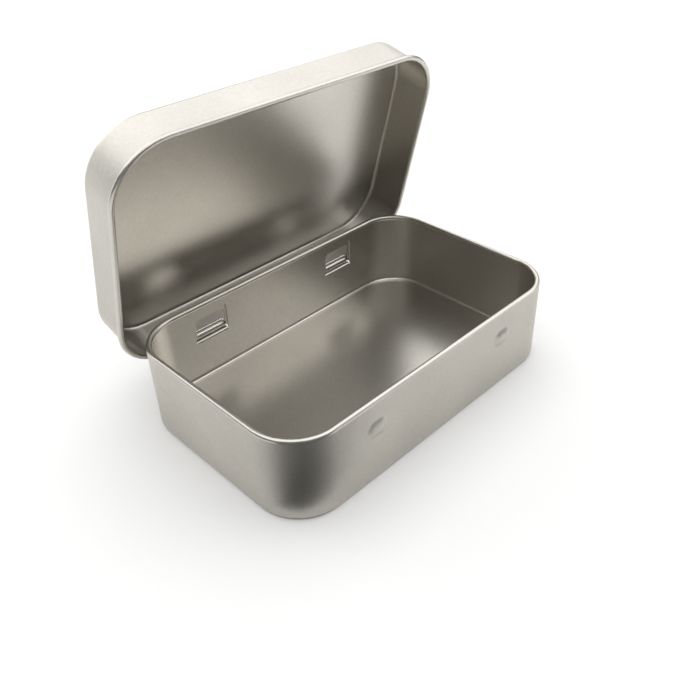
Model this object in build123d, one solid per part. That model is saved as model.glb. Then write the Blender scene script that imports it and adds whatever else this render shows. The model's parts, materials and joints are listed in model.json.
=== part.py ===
from build123d import *
import math
import os

# A plain hinged mint tin, standing on its base with the lid open.
# Millimetres, +Z up. The origin is the centre of the base's underside, +X runs
# along the tin's length and -Y is its front. Both pieces are drawn tinplate.

# Sheet and base
sheet = 0.25
base_length = 94.6
base_depth = 59.8
base_height = 23.1
base_corner = 12.4
foot_radius = 1.2

# Curled rim of the base, rolled inward
rim_bead = 1.5
rim_turn = 300.0

# Lid, with its hem rolled outward
lid_depth = 11.9
crown_radius = 1.0
hem_bead = 1.4
hem_turn = 300.0

# Gaps between the closed lid and the base
side_gap = 1.05
front_gap = 1.3
rear_gap = 0.8
shut_gap = 0.15

# Hinge tongues, cut from the base's rear wall and rolled around the lid's hem
hinge_offset = 23.2
tongue_width = 9.1
tongue_root_width = 10.0
tongue_root_length = 1.3
tongue_bend = 0.5
tongue_clearance = 0.08
tongue_turn = 300.0

# What the punch takes away beside a tongue, and off its tip
shear_gap = 0.06
tip_trim = 0.4
window_corner = 1.4

# Shallow recesses around the windows, pressed outward with sloping sides
recess_width = 10.5
recess_press = 0.3
recess_above = 1.3
recess_corner = 0.8
recess_slope = 35.0

# Slots in the lid's rear skirt, where the tongues pass through
slot_side_gap = 0.5
slot_sill = 0.15
slot_height = 0.95
slot_corner = 0.3

# Catch dimples on the front wall, each a round-ended dome placed down from the rim
dimple_offset = 22.8
dimple_drop = 7.7
dimple_length = 6.2
dimple_width = 4.6
dimple_press = 0.8
dimple_blend = 1.0

# The lid's angle from closed, as it stands open
open_angle = 75.0

# Bends of the walls and beads are drawn in equal straight chords of no more than this turn
chord_turn = 30.0

# One overrun for every cut
overrun = 1.0

# Values at the middle of the sheet
half_sheet = sheet / 2
foot_bend = foot_radius - half_sheet
crown_bend = crown_radius - half_sheet
rim_radius = rim_bead / 2
rim_bend = rim_radius - half_sheet
hem_radius = hem_bead / 2
hem_bend = hem_radius - half_sheet
half_turn = 180.0
quarter_turn = 90.0

# The closed lid's skirt, measured on its outer face
skirt_length = base_length + 2 * (side_gap + sheet)
skirt_depth = base_depth + front_gap + rear_gap + 2 * sheet
skirt_corner = base_corner + side_gap + sheet
skirt_shift = (rear_gap - front_gap) / 2
lid_top = base_height + shut_gap + sheet

# The hinge line is the centre of the rear hem
rear_wall = base_depth / 2
hinge_y = rear_wall + rear_gap + hem_radius
hinge_z = lid_top - lid_depth + hem_radius

# The tongue leaves the wall at its root, bends outward under the hem and wraps around it
wall_middle = rear_wall - half_sheet
tongue_radius = hem_radius + tongue_clearance + half_sheet
tongue_level = hinge_z - tongue_radius
tongue_root = tongue_level - tongue_bend
tongue_run = hinge_y - wall_middle - tongue_bend
bend_length = tongue_bend * math.radians(quarter_turn)
wrap_length = tongue_radius * math.radians(tongue_turn)
wide_run = tongue_root_length - bend_length

# A window is as high as its tongue was long before it was bent
window_width = tongue_width + 2 * shear_gap
window_height = bend_length + tongue_run + wrap_length + tip_trim
recess_height = window_height + recess_above

# Outside, a recess stands out as a boss with walls of the same sheet
recess_lean = math.radians(recess_slope)
boss_wall = sheet / math.cos(recess_lean) - sheet * math.tan(recess_lean)

# The slots in the lid are wider than the tongues
slot_width = tongue_width + 2 * slot_side_gap

# A dimple is placed by its middle, and its dome is round across its width
dimple_height = base_height - dimple_drop
dome_half_width = dimple_width / 2
dome_radius = (dome_half_width**2 + dimple_press**2) / (2 * dimple_press)
dome_centre_y = dome_radius - rear_wall - dimple_press

# Outlines on the upright walls are placed by the middle of their lower edge
above = (Align.CENTER, Align.MIN)


def chords_along(bend):
    """A round bend's line as equal straight chords, which stay close to the round."""
    count = math.ceil(bend.length / bend.radius / math.radians(chord_turn))
    return Polyline(*[bend @ (step / count) for step in range(count + 1)])


def sheet_along(*middle):
    """A flat strip of the sheet's thickness, along the middle line given as edges in order."""
    return trace(list(middle), line_width=sheet)


def ring(length, depth, corner, section):
    """A section carried around a rounded rectangle that is centred on the origin.

    The section's first coordinate is the distance outward from the outline, and
    its second is the height. One quarter is two straight runs joined by a corner.
    """
    side = length / 2
    end = depth / 2
    side_run = end - corner
    end_run = side - corner
    on_side = Plane(origin=(side, 0, 0), x_dir=(1, 0, 0), z_dir=(0, -1, 0)) * section
    on_corner = Pos(0, side_run, 0) * on_side
    on_end = Plane(origin=(end_run, end, 0), x_dir=(0, 1, 0), z_dir=(1, 0, 0)) * section
    corner_axis = Axis((end_run, side_run, 0), (0, 0, 1))
    quarter = extrude(on_side, amount=side_run, dir=(0, 1, 0))
    quarter += revolve(on_corner, axis=corner_axis, revolution_arc=quarter_turn)
    quarter += extrude(on_end, amount=end_run, dir=(-1, 0, 0))
    half = quarter + mirror(quarter, about=Plane.YZ)
    return half + mirror(half, about=Plane.XZ)


def plate(length, depth, corner, inset, bottom):
    """A level plate of sheet, inset from a rounded rectangle, with its underside at a height."""
    outline = RectangleRounded(length - 2 * inset, depth - 2 * inset, corner - inset)
    return extrude(Plane.XY.offset(bottom) * outline, amount=sheet)


def arch(width, height, corner):
    """An upright outline with round upper corners and square lower ones."""
    whole = RectangleRounded(width, height, corner, align=above)
    return whole + Rectangle(width, height / 2, align=above)


def upright(outline, centre_x, bottom, inner_y, outer_y, slope=0):
    """An outline that faces the tin's rear, carried outward and narrowed by a slope in degrees."""
    place = Plane(origin=(centre_x, inner_y, bottom), x_dir=(-1, 0, 0), z_dir=(0, 1, 0))
    return extrude(place * outline, amount=outer_y - inner_y, taper=slope)


def base_walls():
    """The drawn tray with its rounded foot and its rim curled inward."""
    wall_top = base_height - rim_radius
    foot = CenterArc((-foot_radius, foot_radius), foot_bend, -quarter_turn, quarter_turn)
    wall = Line((-half_sheet, foot_radius), (-half_sheet, wall_top))
    curl = CenterArc((-rim_radius, wall_top), rim_bend, 0, rim_turn)
    section = sheet_along(chords_along(foot), wall, chords_along(curl))
    walls = ring(base_length, base_depth, base_corner, section)
    return walls + plate(base_length, base_depth, base_corner, foot_radius, 0)


def dimple_core(centre_x, reach):
    """A bar with round ends, lying along the front wall. Its surface is the dimple's dome."""
    half_bar = (dimple_length - dimple_width) / 2
    bar = Rotation(0, quarter_turn, 0) * Cylinder(reach, 2 * half_bar)
    ends = Pos(half_bar, 0, 0) * Sphere(reach) + Pos(-half_bar, 0, 0) * Sphere(reach)
    return Pos(centre_x, dome_centre_y, dimple_height) * (bar + ends)


def add_dimple(tray, centre_x):
    """Presses a dimple outward in the front wall and blends it in, with a hollow behind it."""
    outside = Pos(centre_x, sheet - rear_wall, dimple_height) * Box(
        dimple_length, dimple_length, dimple_length, align=(Align.CENTER, Align.MAX, Align.CENTER)
    )
    dome = dimple_core(centre_x, dome_radius) & outside
    domed = tray + dome
    blended = domed.fillet(dimple_blend, new_edges(tray, dome, combined=domed))
    hollow = dimple_core(centre_x, dome_radius - sheet)
    pressed = blended - hollow
    return pressed.fillet(dimple_blend + sheet, new_edges(blended, hollow, combined=pressed))


def add_recess(tray, centre_x):
    """Presses a shallow recess outward in the rear wall, from a tongue's root upward."""
    mouth = arch(recess_width, recess_height, recess_corner)
    foot = arch(recess_width + 2 * boss_wall, recess_height + boss_wall, recess_corner)
    boss = upright(foot, centre_x, tongue_root, rear_wall, rear_wall + recess_press, recess_slope)
    inner_face = rear_wall - sheet
    hollow = upright(
        mouth, centre_x, tongue_root, inner_face, inner_face + recess_press, recess_slope
    )
    return tray + boss - hollow


def cut_window(tray, centre_x):
    """Opens the window above a tongue's root, wider where the tongue's root was cut free."""
    opening = arch(window_width, window_height, window_corner)
    opening += Rectangle(recess_width, tongue_root_length, align=above)
    inner_face = rear_wall - sheet
    outer_face = rear_wall + recess_press
    return tray - upright(opening, centre_x, tongue_root, inner_face, outer_face + overrun)


def across(centre_x, width, *middle):
    """Sheet that follows a middle line drawn rearward and upward, with its width along X."""
    place = Plane(origin=(centre_x - width / 2, 0, 0), x_dir=(0, 1, 0), z_dir=(1, 0, 0))
    return extrude(place * sheet_along(*middle), amount=width)


def tongue(centre_x):
    """A hinge tongue: bent outward at its wide root, then wrapped around the lid's hem."""
    bend_y = wall_middle + tongue_bend
    bend = CenterArc((bend_y, tongue_root), tongue_bend, half_turn, -quarter_turn)
    start = Line((bend_y, tongue_level), (bend_y + wide_run, tongue_level))
    run = Line((bend_y, tongue_level), (hinge_y, tongue_level))
    wrap = CenterArc((hinge_y, hinge_z), tongue_radius, -quarter_turn, tongue_turn)
    return across(centre_x, tongue_root_width, bend, start) + across(
        centre_x, tongue_width, run, wrap
    )


def base():
    """The tray with its dimples, its recesses and windows, and the two hinge tongues."""
    tray = base_walls()
    for side in (-1, 1):
        tray = add_dimple(tray, side * dimple_offset)
        tray = add_recess(tray, side * hinge_offset)
        tray = cut_window(tray, side * hinge_offset)
        tray += tongue(side * hinge_offset)
    return tray


def closed_lid():
    """The lid as it sits when shut: crown and skirt, two slots, and the hem curled outward."""
    crown_level = lid_top - crown_radius
    crown = CenterArc((-crown_radius, crown_level), crown_bend, quarter_turn, -quarter_turn)
    skirt = Line((-half_sheet, crown_level), (-half_sheet, hinge_z))
    section = sheet_along(chords_along(crown), skirt)
    cover = ring(skirt_length, skirt_depth, skirt_corner, section)
    cover += plate(skirt_length, skirt_depth, skirt_corner, crown_radius, lid_top - sheet)
    slot = RectangleRounded(slot_width, slot_height, slot_corner, align=above)
    skirt_back = skirt_depth / 2
    for side in (-1, 1):
        centre_x = side * hinge_offset
        cover -= upright(
            slot, centre_x, hinge_z + slot_sill, skirt_back - overrun, skirt_back + overrun
        )
    curl = CenterArc((hem_radius - sheet, hinge_z), hem_bend, half_turn, hem_turn)
    hem = ring(skirt_length, skirt_depth, skirt_corner, sheet_along(chords_along(curl)))
    return Pos(0, skirt_shift, 0) * (cover + hem)


def lid():
    """The lid turned open about the hinge line."""
    hinge_line = Axis((0, hinge_y, hinge_z), (1, 0, 0))
    return closed_lid().rotate(hinge_line, -open_angle)


os.makedirs("parts", exist_ok=True)
export_step(base(), "parts/base.step")
export_step(lid(), "parts/lid.step")
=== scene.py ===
import json
import math

import bpy
import numpy as np
from mathutils import Matrix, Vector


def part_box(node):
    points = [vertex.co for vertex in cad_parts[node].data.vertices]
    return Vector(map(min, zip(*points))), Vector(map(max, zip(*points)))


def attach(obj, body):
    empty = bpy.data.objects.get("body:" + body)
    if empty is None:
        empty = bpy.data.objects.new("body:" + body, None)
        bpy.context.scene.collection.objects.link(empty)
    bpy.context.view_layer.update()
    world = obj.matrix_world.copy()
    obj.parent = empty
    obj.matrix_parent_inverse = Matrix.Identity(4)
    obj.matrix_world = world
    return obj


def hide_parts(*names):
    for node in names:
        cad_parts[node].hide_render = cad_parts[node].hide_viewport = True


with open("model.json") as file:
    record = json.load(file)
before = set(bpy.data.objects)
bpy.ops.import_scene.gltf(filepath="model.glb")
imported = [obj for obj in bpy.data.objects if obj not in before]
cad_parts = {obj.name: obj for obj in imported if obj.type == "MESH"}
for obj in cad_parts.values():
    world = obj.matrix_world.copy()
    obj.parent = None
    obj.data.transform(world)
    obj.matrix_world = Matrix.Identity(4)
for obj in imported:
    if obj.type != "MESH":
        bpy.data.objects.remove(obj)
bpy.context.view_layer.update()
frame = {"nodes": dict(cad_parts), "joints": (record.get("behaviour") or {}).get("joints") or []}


# Base
# The tray is one blank of tinplate, steel with a thin coat of tin, drawn in a press: floor and
# walls, a rim curled inward, two dimples pushed out in front, and two tongues sheared from the
# rear wall and rolled round the lid's hem. The coat is satin, faintly cloudy and finely mottled.

# Tinplate's two tones, warm grey
cloudy_tone = (0.531, 0.511, 0.469, 1.0)
clear_tone = (0.664, 0.639, 0.589, 1.0)
# How fine each pattern is, in features to the metre
clouds_per_metre = 55.0
grain_per_metre = 900.0
mottle_per_metre = 1300.0
waves_per_metre = 26.0
# Rolling stretches the grain along the blank's length
grain_stretch = (0.05, 1.0, 1.0)
# A noise seldom goes below the first of these or above the second
noise_low = 0.15
noise_high = 0.85
# How much of the tone comes from the mottle instead of the clouds
mottle_share = 0.5
# How deep each relief is in metres, and how strongly it turns the light
wave_depth = 0.0004
wave_strength = 0.25
grain_depth = 0.000012
mottle_depth = 0.000025
fine_strength = 0.5
# The inner faces keep the mill's finish. The outer walls are scuffed upright by the die, so
# light spreads across them unevenly.
mill_roughness = 0.285
mill_streak = 0.1
die_streak = 0.8
cloud_roughness = 0.05
base_wall_roughness = 0.5
# The tray's outer wall starts at the top of its foot bend and ends below its rim bead
foot_bend = 0.0012
rim_bead = 0.0015
base_wall_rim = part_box("base")[1].z - rim_bead
# A face whose slope has a smaller sine than this counts as flat
flat_slope = 0.3
# The cosine of 60 degrees, the slope past which a face is a wall
wall_slope = 0.5
# Corners nearer than this are one corner, and an edge that turns more than this is a crease
weld_step = 1e-6
crease_angle = math.radians(40)


def link(tree, source, target):
    """Joins one node's output socket to another node's input socket."""
    tree.links.new(source, target)


def noise_pattern(tree, per_metre, detail, stretch=(1.0, 1.0, 1.0)):
    """Noise read at the place on the piece, with each axis first multiplied by its stretch."""
    place = tree.nodes.new("ShaderNodeTexCoord")
    mapping = tree.nodes.new("ShaderNodeMapping")
    mapping.inputs["Scale"].default_value = stretch
    noise = tree.nodes.new("ShaderNodeTexNoise")
    noise.inputs["Scale"].default_value = per_metre
    noise.inputs["Detail"].default_value = detail
    link(tree, place.outputs["Object"], mapping.inputs["Vector"])
    link(tree, mapping.outputs["Vector"], noise.inputs["Vector"])
    return noise.outputs["Fac"]


def remap(tree, source, low, high):
    """Carries the usual reach of a noise onto the range from low to high."""
    spread = tree.nodes.new("ShaderNodeMapRange")
    spread.clamp = False
    spread.inputs["From Min"].default_value = noise_low
    spread.inputs["From Max"].default_value = noise_high
    spread.inputs["To Min"].default_value = low
    spread.inputs["To Max"].default_value = high
    link(tree, source, spread.inputs["Value"])
    return spread.outputs["Result"]


def relief(tree, height, depth, strength, below=None):
    """Tilts the surface by a height pattern of the depth given, on top of an earlier relief."""
    node = tree.nodes.new("ShaderNodeBump")
    node.inputs["Strength"].default_value = strength
    node.inputs["Distance"].default_value = depth
    link(tree, height, node.inputs["Height"])
    if below is not None:
        link(tree, below, node.inputs["Normal"])
    return node.outputs["Normal"]


def tinplate(name, roughness, streak):
    """Satin tinplate: a cloudy, mottled tone, and relief from long waves, grain and mottle.

    The tone's place between cloudy and clear is the mottle times its share, plus the clouds
    times the rest. The roughness rises by the cloud's part where the clouds are thick. The
    streak spreads light across the directions that the piece's own map "grain" gives.
    """
    material = bpy.data.materials.new(name)
    material.use_nodes = True
    tree = material.node_tree
    shader = tree.nodes["Principled BSDF"]
    shader.inputs["Metallic"].default_value = 1.0
    shader.inputs["Anisotropic"].default_value = streak
    along = tree.nodes.new("ShaderNodeTangent")
    along.direction_type = "UV_MAP"
    along.uv_map = "grain"
    link(tree, along.outputs["Tangent"], shader.inputs["Tangent"])

    clouds = noise_pattern(tree, clouds_per_metre, detail=2.0)
    grain = noise_pattern(tree, grain_per_metre, detail=3.0, stretch=grain_stretch)
    mottle = noise_pattern(tree, mottle_per_metre, detail=1.0)
    waves = noise_pattern(tree, waves_per_metre, detail=1.0)

    share = tree.nodes.new("ShaderNodeMix")
    share.inputs["Factor"].default_value = mottle_share
    link(tree, remap(tree, clouds, 0.0, 1.0), share.inputs["A"])
    link(tree, remap(tree, mottle, 0.0, 1.0), share.inputs["B"])
    tone = tree.nodes.new("ShaderNodeMix")
    tone.data_type = "RGBA"
    tone.inputs["A"].default_value = cloudy_tone
    tone.inputs["B"].default_value = clear_tone
    link(tree, share.outputs["Result"], tone.inputs["Factor"])
    link(tree, tone.outputs["Result"], shader.inputs["Base Color"])
    satin = remap(tree, clouds, roughness + cloud_roughness, roughness)
    link(tree, satin, shader.inputs["Roughness"])

    waved = relief(tree, waves, wave_depth, wave_strength)
    rolled = relief(tree, grain, grain_depth, fine_strength, waved)
    mottled = relief(tree, mottle, mottle_depth, fine_strength, rolled)
    link(tree, mottled, shader.inputs["Normal"])
    return material


def read_triangles(mesh):
    """The mesh's points, one to a row, and for each triangle the rows of its three points."""
    places = np.empty(len(mesh.vertices) * 3)
    mesh.vertices.foreach_get("co", places)
    corners = np.empty(len(mesh.loops), int)
    mesh.loops.foreach_get("vertex_index", corners)
    return places.reshape(-1, 3), corners.reshape(-1, 3)


def mark_sheet(mesh, lean, wall_foot, wall_rim):
    """Gives each face its grain direction, and the outer walls the die's finish.

    The mesh is first turned by the lean, so that its panel lies level. A wall's grain runs
    level along it, which is up crossed with the face's direction, and a flat face's grain runs
    along X. The map's first number is the place along that grain and its second the place
    across it. A face is outer wall where it faces away from the middle, is steep enough, and
    has its middle between the two heights.
    """
    places, corners = read_triangles(mesh)
    points = (places @ lean.T)[corners]
    facing = np.cross(points[:, 1] - points[:, 0], points[:, 2] - points[:, 0])
    facing /= np.linalg.norm(facing, axis=1, keepdims=True)

    level = np.cross((0.0, 0.0, 1.0), facing)
    slope = np.linalg.norm(level, axis=1, keepdims=True)
    along = np.where(slope < flat_slope, (1.0, 0.0, 0.0), level / np.maximum(slope, flat_slope))
    across = np.cross(facing, along)
    u = np.einsum("fck,fk->fc", points, along)
    v = np.einsum("fck,fk->fc", points, across)
    layer = mesh.uv_layers.new(name="grain")
    layer.data.foreach_set("uv", np.stack([u, v], axis=2).ravel())

    middle = points.mean(axis=1)
    outward = np.einsum("fk,fk->f", middle[:, :2], facing[:, :2]) > 0
    in_reach = (middle[:, 2] > wall_foot) & (middle[:, 2] < wall_rim)
    outer_wall = outward & in_reach & (np.abs(facing[:, 2]) < wall_slope)
    mesh.polygons.foreach_set("material_index", outer_wall.astype(int))


def smooth_skin(name, node, body, lean, wall_foot, wall_rim, wall_roughness):
    """The solid's own surface with its triangles joined, so that light runs round each bend.

    Corners that round to the same multiple of the weld step become one corner, and triangles
    left with fewer than three go. The larger faces round a corner give it its direction, and
    creases stay sharp.
    """
    places, corners = read_triangles(frame["nodes"][node].data)
    steps = np.round(places / weld_step).astype(int)
    _, first, joined = np.unique(steps, axis=0, return_index=True, return_inverse=True)
    faces = joined.ravel()[corners]
    whole = (faces != np.roll(faces, 1, axis=1)).all(axis=1)

    mesh = bpy.data.meshes.new(name)
    mesh.from_pydata(places[first].tolist(), [], faces[whole].tolist())
    mesh.shade_smooth()
    mesh.set_sharp_from_angle(angle=crease_angle)
    mesh.materials.append(tinplate(name + "_mill_finish", mill_roughness, mill_streak))
    mesh.materials.append(tinplate(name + "_die_finish", wall_roughness, die_streak))
    mark_sheet(mesh, lean, wall_foot, wall_rim)

    skin = bpy.data.objects.new(name, mesh)
    bpy.context.scene.collection.objects.link(skin)
    weigh = skin.modifiers.new("larger_faces_lead", "WEIGHTED_NORMAL")
    weigh.mode = "FACE_AREA"
    weigh.weight = 100
    weigh.keep_sharp = True
    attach(skin, body)
    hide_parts(node)


smooth_skin("base_skin", "base", "tray", np.eye(3), foot_bend, base_wall_rim,
            base_wall_roughness)


# Lid
# The cover is drawn from the same tinplate: panel, skirt, a hem curled outward, and two slots
# behind for the base's tongues. The rear hem is the hinge's pin. It stands 75 degrees open,
# so it is turned level about X before its grain and its walls are worked out.

hinge = frame["joints"][0]
# The least angle of the hinge's range is the shut lid, so the lid stands that far open
open_angle = math.radians(-hinge["range_deg"][0])
# The skirt's flat part runs between these heights over the hinge, hem to crown bend
skirt_over_hem = 0.0008
skirt_under_crown = 0.0102
lid_wall_roughness = 0.36

lid_lean = np.array(Matrix.Rotation(open_angle, 3, "X"))
hinge_height = (lid_lean @ hinge["pos_m"])[2]
smooth_skin("lid_skin", "lid", "cover", lid_lean, hinge_height + skirt_over_hem,
            hinge_height + skirt_under_crown, lid_wall_roughness)


# Table
# A broad white board that the tin stands on, matt and very slightly warm. It is no part of
# the tin: it takes the shadow, and the outer walls mirror it.

table_side = 6.0
board_white = (0.86, 0.86, 0.855, 1.0)


def matt_finish(name, colour, roughness, gloss):
    """One even colour with a weak, wide gloss."""
    material = bpy.data.materials.new(name)
    material.use_nodes = True
    shader = material.node_tree.nodes["Principled BSDF"]
    shader.inputs["Base Color"].default_value = colour
    shader.inputs["Roughness"].default_value = roughness
    shader.inputs["Specular IOR Level"].default_value = gloss
    return material


def stage_sheet(name, corners, material):
    """One flat face through four corners."""
    mesh = bpy.data.meshes.new(name)
    mesh.from_pydata(corners, [], [(0, 1, 2, 3)])
    mesh.materials.append(material)
    sheet = bpy.data.objects.new(name, mesh)
    bpy.context.scene.collection.objects.link(sheet)
    return sheet


reach = table_side / 2
board_corners = [(-reach, -reach, 0), (reach, -reach, 0), (reach, reach, 0), (-reach, reach, 0)]
stage_sheet("table", board_corners,
            matt_finish("white_board", board_white, roughness=0.6, gloss=0.2))


# Light
# A dim, even room and three soft boxes: a broad one overhead, set off to the right and rear,
# and two weaker ones that stand at the front right and behind. Only their light and their
# reflections are seen.

room_colour = (1.0, 1.0, 0.99, 1.0)
room_brightness = 0.15
overhead_centre = (0.75, 0.75, 1.0)


def soft_box(name, width, height, brightness, place):
    """A rectangle that shines with one brightness, where 1 is white.

    Its power is the brightness times pi times its area, spread over every direction.
    """
    data = bpy.data.lights.new(name, "AREA")
    data.shape = "RECTANGLE"
    data.size = width
    data.size_y = height
    data.energy = brightness * math.pi * width * height
    lamp = bpy.data.objects.new(name, data)
    lamp.matrix_world = place
    lamp.visible_camera = False
    bpy.context.scene.collection.objects.link(lamp)


def standing(bearing, distance, centre_height):
    """A place on a circle round the tin, with the box turned to face inward and level."""
    centre = (distance * math.cos(bearing), distance * math.sin(bearing), centre_height)
    upright = Matrix.Rotation(math.pi / 2, 4, "X")
    inward = Matrix.Rotation(bearing + math.pi / 2, 4, "Z")
    return Matrix.Translation(centre) @ inward @ upright


soft_box("overhead", width=3.6, height=3.6, brightness=1.5,
         place=Matrix.Translation(overhead_centre))
soft_box("front_right", width=1.0, height=1.3, brightness=0.7,
         place=standing(math.radians(-39), distance=1.6, centre_height=0.66))
soft_box("rear_left", width=2.4, height=1.3, brightness=0.95,
         place=standing(math.radians(105), distance=2.0, centre_height=0.66))

room = bpy.data.worlds.new("room")
room.use_nodes = True
room.node_tree.nodes["Background"].inputs["Color"].default_value = room_colour
room.node_tree.nodes["Background"].inputs["Strength"].default_value = room_brightness
bpy.context.scene.world = room


# Dark flag
# A strip of dark grey sheet that leans away from the near corner and widens upward, as a
# photographer's flag gives bright metal an edge. It paints a dark reflection down the tray's
# near corner: only reflections see it, so it throws no shadow and takes no light from the table.

# The grey of a sheet that only reflections see, painted as a dark reflected band on the near
# corner
dark_reflection_grey = (0.15, 0.15, 0.142, 1.0)
# The place near the foot of the tray where its rounded near corner stands out most
corner_foot = np.array((-0.0437, -0.0263, 0.001))
# Level, straight out from that corner, and level across it
outward = np.array((-0.72, -0.69, 0.0))
sideways = np.array((0.69, -0.72, 0.0))
upward = np.array((0.0, 0.0, 1.0))
# How far the low edge stands off the corner, and how far the high edge stands out and up
low_gap = 0.002
high_lean = 0.15
high_rise = 0.3
# How far each edge reaches to the left and to the right of the corner
low_left = 0.006
low_right = 0.02
high_left = 0.1
high_right = 0.26

low_edge = corner_foot + low_gap * outward
high_edge = corner_foot + high_lean * outward + high_rise * upward
flag_corners = [
    (low_edge - low_left * sideways).tolist(),
    (low_edge + low_right * sideways).tolist(),
    (high_edge + high_right * sideways).tolist(),
    (high_edge - high_left * sideways).tolist(),
]
flag = stage_sheet("dark_flag", flag_corners,
                   matt_finish("dark_reflection_sheet", dark_reflection_grey, roughness=0.9, gloss=0.5))
flag.visible_camera = False
flag.visible_diffuse = False
flag.visible_shadow = False


# Camera
# It looks down over the tin's front left corner, 0.2 m from the tin's middle. Its place, angles
# and focal length are solved from the photograph, whose frame is 700 pixels wide and high.

frame_side = 700
focal_pixels = 757.8
centre_column = 353.4
centre_row = 321.0
camera_place = (-0.11156, -0.11429, 0.12768)
heading = math.radians(-44.32)
tilt = math.radians(90 - 34.50)
roll = math.radians(-1.856)

lens = bpy.data.cameras.new("camera")
lens.sensor_width = 36.0
lens.lens = focal_pixels * lens.sensor_width / frame_side
lens.shift_x = (frame_side / 2 - centre_column) / frame_side
lens.shift_y = (centre_row - frame_side / 2) / frame_side
lens.clip_start = 0.01
camera = bpy.data.objects.new("camera", lens)
aim = (Matrix.Rotation(heading, 4, "Z") @ Matrix.Rotation(tilt, 4, "X")
       @ Matrix.Rotation(roll, 4, "Z"))
camera.matrix_world = Matrix.Translation(camera_place) @ aim
bpy.context.scene.collection.objects.link(camera)
bpy.context.scene.camera = camera

bpy.context.scene.view_settings.view_transform = "Standard"
